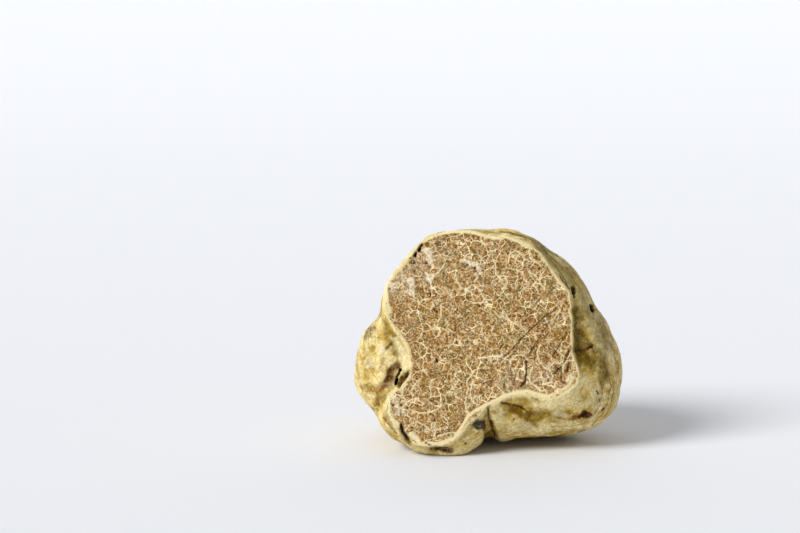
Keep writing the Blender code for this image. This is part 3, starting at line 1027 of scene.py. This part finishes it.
@dataclass
class TruffleHalf:
    """The half truffle: skin, flesh and veins in one piece."""

    view: View
    lean: float = 12.0  # degrees that the cut leans back
    voxel: float = 0.45  # edge of the fine copy's faces
    smoothings: int = 6
    rim_smoothings: int = 2
    relief: tuple[tuple[float, float], ...] = ((0.35, 5.0), (0.16, 2.0), (0.08, 0.9))  # depth, length
    cut_relief: tuple[tuple[float, float], ...] = ((0.05, 4.0), (0.03, 1.2))
    broad_rounds: int = 40  # how widely a point's neighbourhood is averaged
    hollow_span: float = 0.3  # height between a hollow and a ridge
    vein_width: float = 0.115
    step: float = 2.0  # pixels between the points of a mark's path
    finer: tuple[float, float, float] = (0.7, 0.35, 0.25)  # marks with finer faces: see near_marks
    finest: tuple[float, float, float] = (0.2, 0.27, 0.3)  # marks with faces finer still
    flat_rim: float = 0.8  # the relief fades out this close to the rim
    ragged_sizes: tuple[float, float] = (0.5, 1.5)  # of the wander of thin and of wide marks' edges
    wide_mark: float = 0.7
    resting_share: float = 0.2  # of the relief, where the underside rests
    spot_count: int = 34  # on the hidden side
    spot_seed: int = 11
    spot_kinds: tuple[tuple[Layer, float, float], ...] = (  # layer, chance, half its width
        (Layer.OCHRE, 0.35, 1.0),
        (Layer.BROWN, 0.4, 0.62),
        # near-black pits: painted shade
        (Layer.DARK, 0.25, 0.26),
    )
    spot_middle: tuple[float, float, float] = (0.0, 0.0, 20.0)  # that the spots lie around
    spot_reach: float = 60.0  # from there, well outside the truffle
    flat_height: float = 0.05  # below this the underside rests on the table
    room: float = 0.4  # share of the room to the solid's box that relief may use
    along_sight: float = 0.4  # how much of a distance counts along the line of sight
    co: Array = field(init=False, repr=False)
    cut_normal: Array = field(init=False, repr=False)
    paths: list[Array] = field(init=False, repr=False)
    spots: list[tuple[Mark, Array]] = field(init=False, repr=False)

    def fine_copy(self) -> bpy.types.Object:
        """Copies the solid and gives the copy small, even faces.

        Returns:
            The copy.
        """
        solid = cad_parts[NODE]
        piece = bpy.data.objects.new("truffle_skin_and_flesh", solid.data.copy())
        bpy.context.scene.collection.objects.link(piece)
        bpy.ops.object.select_all(action="DESELECT")
        piece.select_set(True)
        bpy.context.view_layer.objects.active = piece
        bpy.ops.object.mode_set(mode="EDIT")
        bpy.ops.mesh.select_all(action="SELECT")
        bpy.ops.mesh.remove_doubles(threshold=0.001 * MM)
        bpy.ops.object.mode_set(mode="OBJECT")
        remesh = piece.modifiers.new("even_faces", "REMESH")
        remesh.mode = "VOXEL"
        remesh.voxel_size = self.voxel * MM
        bpy.ops.object.modifier_apply(modifier=remesh.name)
        piece.data.materials.clear()
        return piece

    def read(self, mesh: bpy.types.Mesh) -> None:
        """Reads the mesh's points, in millimetres."""
        points = np.empty(len(mesh.vertices) * 3)
        mesh.vertices.foreach_get("co", points)
        self.co = points.reshape(-1, 3) / MM

    def write(self, mesh: bpy.types.Mesh) -> None:
        """Writes the points back to the mesh, in metres."""
        mesh.vertices.foreach_set("co", (self.co * MM).ravel())
        mesh.update()

    def normals(self, mesh: bpy.types.Mesh) -> Array:
        """The mesh's vertex normals."""
        values = np.empty(len(mesh.vertices) * 3)
        mesh.vertices.foreach_get("normal", values)
        return values.reshape(-1, 3)

    def edges(self, mesh: bpy.types.Mesh) -> Array:
        """The mesh's edges as pairs of vertex numbers."""
        values = np.empty(len(mesh.edges) * 2, int)
        mesh.edges.foreach_get("vertices", values)
        return values.reshape(-1, 2)

    def behind_cut(self) -> Array:
        """How far each point is behind the plane of the cut."""
        return -(self.co - np.array(self.view.cut_middle)) @ self.cut_normal

    def averaged(self, values: Array, edges: Array) -> Array:
        """Each point's values averaged over its neighbours."""
        total = np.zeros_like(values)
        for near, far in ((0, 1), (1, 0)):
            for axis in range(values.shape[1]):
                total[:, axis] += np.bincount(
                    edges[:, near], values[edges[:, far], axis], minlength=len(values)
                )
        count = np.bincount(edges.ravel(), minlength=len(values))
        return total / np.maximum(count, 1)[:, None]

    def even_out(self, mesh: bpy.types.Mesh) -> Array:
        """Puts the cut's points on its plane and smooths away the solid's facets.

        Args:
            mesh: the fine copy's mesh.

        Returns:
            For each point, whether it lies on the cut.
        """
        facing = self.normals(mesh) @ self.cut_normal
        depth = self.behind_cut()
        on_cut = (np.abs(depth) < 0.6 * self.voxel) & (facing > 0.75)
        resting = self.co[:, 2] < self.flat_height
        edges = self.edges(mesh)
        for count in range(self.smoothings):
            change = 0.5 * (self.averaged(self.co, edges) - self.co)
            if count >= self.rim_smoothings:
                change[on_cut] = 0.0
            self.co += change
            depth = self.behind_cut()
            self.co[on_cut] += depth[on_cut, None] * self.cut_normal
            self.co[resting, 2] = 0.0
        self.write(mesh)
        return on_cut

    def trace(self, mesh: bpy.types.Mesh) -> None:
        """Finds where the path of every mark and vein lies on the surface."""
        vertices = [Vector(point) for point in self.co]
        tree = BVHTree.FromPolygons(vertices, [tuple(face.vertices) for face in mesh.polygons])
        eye = Vector(self.view.eye())
        self.paths = []
        for pixels in [mark.path for mark in MARKS] + list(VEINS):
            points = np.array(pixels, float)
            dense = [points[:1]]
            for start, end in zip(points, points[1:]):
                count = max(1, int(np.linalg.norm(end - start) / self.step))
                dense.append(start + (end - start) * np.linspace(0.0, 1.0, count + 1)[1:, None])
            hits = []
            for pixel in np.vstack(dense):
                place = tree.ray_cast(eye, Vector(self.view.sight(tuple(pixel))))[0]
                if place is not None:
                    hits.append(tuple(place))
            self.paths.append(np.array(hits).reshape(-1, 3))
        self.scatter(tree)

    def scatter(self, tree: BVHTree) -> None:
        """Strews stains, sores and pits over the skin that the photograph doesn't show."""
        chance = np.random.default_rng(self.spot_seed)
        middle = np.array(self.spot_middle)
        shares = [share for _, share, _ in self.spot_kinds]
        self.spots = []
        for _ in range(self.spot_count):
            way = chance.normal(size=3)
            way[1] = abs(way[1]) + 0.4  # towards the back
            way /= np.linalg.norm(way)
            place = tree.ray_cast(Vector(middle + self.spot_reach * way), Vector(-way))[0]
            layer, _, size = self.spot_kinds[chance.choice(len(shares), p=shares)]
            width = size * chance.uniform(0.6, 1.4)
            spread = np.cross(way, chance.normal(size=3)) * width
            strength, depth = chance.uniform(0.6, 1.0), chance.uniform(0.0, 0.3)
            mark = Mark(layer, (), width, strength, depth, ragged=0.8, soft=0.7)
            self.spots.append((mark, np.array([tuple(place), np.array(place) + spread])))

    def distance(self, path: Array, seen: bool = True) -> Array:
        """How far each point is from a path on the surface.

        Args:
            path: the path's points.
            seen: whether to measure mostly as the camera sees it, so that what lies along the
                line of sight counts for less.

        Returns:
            The distances.
        """
        points = self.co
        if seen:
            sight = path.mean(axis=0) - self.view.eye()
            sight /= np.linalg.norm(sight)
            flatten = np.eye(3) - (1.0 - self.along_sight) * np.outer(sight, sight)
            points, path = points @ flatten, path @ flatten
        nearest = np.linalg.norm(points - path[0], axis=1)
        for start, end in zip(path, path[1:]):
            along = end - start
            length = along @ along
            if length == 0.0:
                continue
            share = np.clip((points - start) @ along / length, 0.0, 1.0)
            gap = np.linalg.norm(points - start - share[:, None] * along, axis=1)
            nearest = np.minimum(nearest, gap)
        return nearest

    def refine(self, piece: bpy.types.Object, wanted: Array) -> None:
        """Halves the edges of the chosen faces.

        Args:
            piece: the fine copy.
            wanted: for each point, whether the faces between such points are chosen.
        """
        mesh = piece.data
        chosen = np.array([all(wanted[i] for i in face.vertices) for face in mesh.polygons])
        bpy.ops.object.mode_set(mode="EDIT")
        bpy.ops.mesh.select_mode(type="FACE")
        bpy.ops.mesh.select_all(action="DESELECT")
        bpy.ops.object.mode_set(mode="OBJECT")
        mesh.polygons.foreach_set("select", chosen)
        bpy.ops.object.mode_set(mode="EDIT")
        bpy.ops.mesh.subdivide(number_cuts=1, smoothness=0.0)
        bpy.ops.object.mode_set(mode="OBJECT")
        self.read(mesh)

    def near_marks(self, reach: float, most_width: float, least_depth: float) -> Array:
        """Which points are close to thin or deep marks.

        Args:
            reach: how close, in millimetres beyond a mark's width.
            most_width: half the width up to which a mark counts as thin.
            least_depth: the depth from which a mark counts as deep.

        Returns:
            For each point, whether it is.
        """
        near = np.zeros(len(self.co), bool)
        for mark, path in zip(MARKS, self.paths):
            if len(path) and (mark.width <= most_width or mark.depth >= least_depth):
                near |= self.distance(path) < mark.width + reach
        return near

    def where_cut(self, mesh: bpy.types.Mesh) -> Array:
        """For each point, whether it lies on the cut."""
        facing = self.normals(mesh) @ self.cut_normal
        return (np.abs(self.behind_cut()) < 0.01) & (facing > 0.5)

    def rim_distance(self, mesh: bpy.types.Mesh, on_cut: Array) -> Array:
        """How far inside the rim each point of the cut is; on the skin, minus the depth behind."""
        edges = self.edges(mesh)
        crossing = on_cut[edges[:, 0]] != on_cut[edges[:, 1]]
        rim = np.unique(edges[crossing][on_cut[edges[crossing]]])
        tree = KDTree(len(rim))
        for index in rim:
            tree.insert(self.co[index], int(index))
        tree.balance()
        inside = np.zeros(len(self.co))
        for index in np.flatnonzero(on_cut):
            inside[index] = tree.find(self.co[index])[2]
        return np.where(on_cut, inside, -np.maximum(self.behind_cut(), 0.0))

    def press_and_paint(self, mesh: bpy.types.Mesh, on_cut: Array) -> dict[str, Array]:
        """Presses the relief and the marks in, and works out what they paint.

        Args:
            mesh: the finer mesh.
            on_cut: for each point, whether it lies on the cut.

        Returns:
            The values of each attribute.
        """
        layers = {layer.value: np.zeros(len(self.co)) for layer in Layer}
        layers[RIM_ATTRIBUTE] = self.rim_distance(mesh, on_cut)
        normal = self.normals(mesh)
        edges = self.edges(mesh)
        away = ease(np.abs(layers[RIM_ATTRIBUTE]) / self.flat_rim)
        pressed = np.zeros(len(self.co))
        for relief, where in ((self.relief, ~on_cut), (self.cut_relief, on_cut)):
            for seed, (depth, length) in enumerate(relief):
                pressed[where] += depth * noise_at(self.co[where], length, 3.1 * seed) * away[where]
        thin, wide = (noise_at(self.co, size, 7.7) for size in self.ragged_sizes)
        for mark, path in list(zip(MARKS, self.paths)) + self.spots:
            if not len(path):
                log.warning("a mark at %s misses the truffle", mark.path[0])
                continue
            wander = thin if mark.width < self.wide_mark else wide
            gap = self.distance(path, bool(mark.path)) / mark.width + mark.ragged * wander
            inside = 1.0 - ease((gap - 1.0 + mark.soft) / mark.soft)
            value = layers[mark.layer.value]
            np.maximum(value, mark.strength * inside, out=value)
            pressed += mark.depth * inside
        veins = layers[Layer.VEIN.value]
        for path in self.paths[len(MARKS) :]:
            gap = self.distance(path) / self.vein_width + 0.5 * thin
            np.maximum(veins, 1.0 - ease(gap - 0.4), out=veins)
        pressed[self.co[:, 2] < self.flat_height] *= self.resting_share
        pressed = np.maximum(pressed, -self.room * self.room_to_box(normal))
        self.co -= pressed[:, None] * normal

        # Hollows: points that lie below the average of a wide neighbourhood.
        broad = self.co.copy()
        for _ in range(self.broad_rounds):
            broad += 0.5 * (self.averaged(broad, edges) - broad)
        below = np.einsum("ij,ij->i", broad - self.co, normal)
        below -= np.median(below[~on_cut])
        layers[HOLLOW_ATTRIBUTE] = ease(0.5 + below / self.hollow_span)
        return layers

    def room_to_box(self, normal: Array) -> Array:
        """How far each point could move along its normal before it leaves the solid's box."""
        low, high = np.array(CAD_BOX[0]) / MM, np.array(CAD_BOX[1]) / MM
        ahead = np.where(normal > 0.0, high - self.co, self.co - low)
        room = ahead / np.maximum(np.abs(normal), 0.001)
        return np.maximum(room.min(axis=1), 0.0)

    def keep_in_box(self) -> None:
        """Keeps every point inside the solid's box."""
        low, high = np.array(CAD_BOX[0]) / MM, np.array(CAD_BOX[1]) / MM
        self.co = np.clip(self.co, low, high)

    def dress(self, piece: bpy.types.Object, on_cut: Array, layers: dict[str, Array]) -> None:
        """Stores the painted layers and gives each face its material.

        Args:
            piece: the finished shape.
            on_cut: for each point, whether it lies on the cut.
            layers: the values of each attribute.
        """
        mesh = piece.data
        for name, values in layers.items():
            attribute = mesh.attributes.new(name, "FLOAT", "POINT")
            attribute.data.foreach_set("value", values.astype(np.float32))
        mesh.materials.append(SkinFinish(lean=self.lean).build())
        mesh.materials.append(FleshFinish().build())
        flesh = np.array([all(on_cut[i] for i in face.vertices) for face in mesh.polygons])
        mesh.polygons.foreach_set("material_index", flesh.astype(int))
        mesh.shade_smooth()

    def build(self) -> bpy.types.Object:
        """Makes the piece.

        Returns:
            The dressed truffle.
        """
        lean = math.radians(self.lean)
        self.cut_normal = np.array([0.0, -math.cos(lean), math.sin(lean)])
        piece = self.fine_copy()
        mesh = piece.data
        self.read(mesh)
        on_cut = self.even_out(mesh)
        self.trace(mesh)
        self.refine(piece, on_cut | self.near_marks(*self.finer))
        self.refine(piece, self.near_marks(*self.finest) & ~self.where_cut(mesh))
        on_cut = self.where_cut(mesh)
        layers = self.press_and_paint(mesh, on_cut)
        self.keep_in_box()
        self.write(mesh)
        self.dress(piece, on_cut, layers)
        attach(piece, BODY)
        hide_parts(NODE)
        return piece


@dataclass(frozen=True)
class PaperFinish:
    """Matt studio paper.

    The eye gets an even, pale and slightly cool ground without a gleam.
    """

    colour: str = "e8eaee"
    roughness: float = 0.9
    ior: float = 1.2

    def build(self) -> bpy.types.Material:
        """Makes the material.

        Returns:
            The paper material.
        """
        graph = Graph("studio_paper_matt")
        inputs = {"Base Color": linear(self.colour), "Roughness": self.roughness, "IOR": self.ior}
        graph.add("OutputMaterial", {"Surface": graph.add("BsdfPrincipled", inputs)})
        return graph.material


@dataclass(frozen=True)
class Studio:
    """A plain pale floor that sweeps up behind, and soft light from the upper left.

    Lengths here are in metres.
    """

    air: str = "f7f6f7"
    air_strength: float = 0.33
    key_strength: float = 3.0
    key_from: tuple[float, float, float] = (-0.72, -0.46, 0.6)
    key_angle: float = 28.0  # degrees across, which softens the shadows
    wash_watts: float = 8.0
    wash_size: float = 2.0
    wash_from: tuple[float, float, float] = (0.0, 0.6, 2.2)
    wash_at: tuple[float, float, float] = (0.0, 2.0, 0.6)
    floor_size: float = 6.0
    floor_middle: tuple[float, float, float] = (0.0, -1.0, 0.0)
    sweep_height: float = 2.5
    sweep_radius: float = 1.4
    sweep_segments: int = 24

    def floor(self) -> bpy.types.Object:
        """Makes the floor and its sweep.

        Returns:
            The floor.
        """
        bpy.ops.object.select_all(action="DESELECT")
        bpy.ops.mesh.primitive_plane_add(size=self.floor_size, location=self.floor_middle)
        floor = bpy.context.active_object
        floor.name = "studio_floor"
        back = 0.5 * self.floor_size - 0.01
        for edge in floor.data.edges:
            edge.select = all(floor.data.vertices[i].co.y > back for i in edge.vertices)
        for vertex in floor.data.vertices:
            vertex.select = vertex.co.y > back
        for polygon in floor.data.polygons:
            polygon.select = False
        bpy.ops.object.mode_set(mode="EDIT")
        bpy.ops.mesh.select_mode(type="EDGE")
        rise = {"value": (0.0, 0.0, self.sweep_height)}
        bpy.ops.mesh.extrude_region_move(TRANSFORM_OT_translate=rise)
        bpy.ops.object.mode_set(mode="OBJECT")
        bevel = floor.modifiers.new("sweep", "BEVEL")
        bevel.width = self.sweep_radius
        bevel.segments = self.sweep_segments
        bevel.limit_method = "ANGLE"
        bpy.ops.object.modifier_apply(modifier=bevel.name)
        floor.data.shade_smooth()
        floor.data.materials.append(PaperFinish().build())
        return floor

    def aimed(self, light: bpy.types.Object, place: Vector, target: Vector) -> None:
        """Hangs a light at a place and turns it to look at a target."""
        light.location = place
        light.rotation_euler = (target - place).to_track_quat("-Z", "Y").to_euler()
        bpy.context.scene.collection.objects.link(light)

    def build(self) -> None:
        """Sets up the floor, the lights and the air."""
        self.floor()
        key = bpy.data.lights.new("key_window", "SUN")
        key.energy = self.key_strength
        key.angle = math.radians(self.key_angle)
        self.aimed(bpy.data.objects.new("key_window", key), Vector(self.key_from), Vector())
        wash = bpy.data.lights.new("backdrop_wash", "AREA")
        wash.energy = self.wash_watts
        wash.size = self.wash_size
        lamp = bpy.data.objects.new("backdrop_wash", wash)
        self.aimed(lamp, Vector(self.wash_from), Vector(self.wash_at))
        world = bpy.data.worlds.new("studio_air")
        world.use_nodes = True
        air = world.node_tree.nodes["Background"]
        air.inputs["Color"].default_value = linear(self.air)
        air.inputs["Strength"].default_value = self.air_strength
        scene = bpy.context.scene
        scene.world = world
        scene.view_settings.view_transform = "Standard"
        scene.view_settings.look = "None"


def main() -> None:
    """Builds the truffle, the studio and the camera."""
    logging.basicConfig(level=logging.INFO, format="%(message)s")
    view = View()
    piece = TruffleHalf(view).build()
    triangles = sum(len(face.vertices) - 2 for face in piece.data.polygons)
    log.info("%s: %d triangles", piece.name, triangles)
    Studio().build()
    log.info("studio: floor and lights")
    view.build()
    log.info("camera: %s", bpy.context.scene.camera.name)


if __name__ == "__main__":
    main()
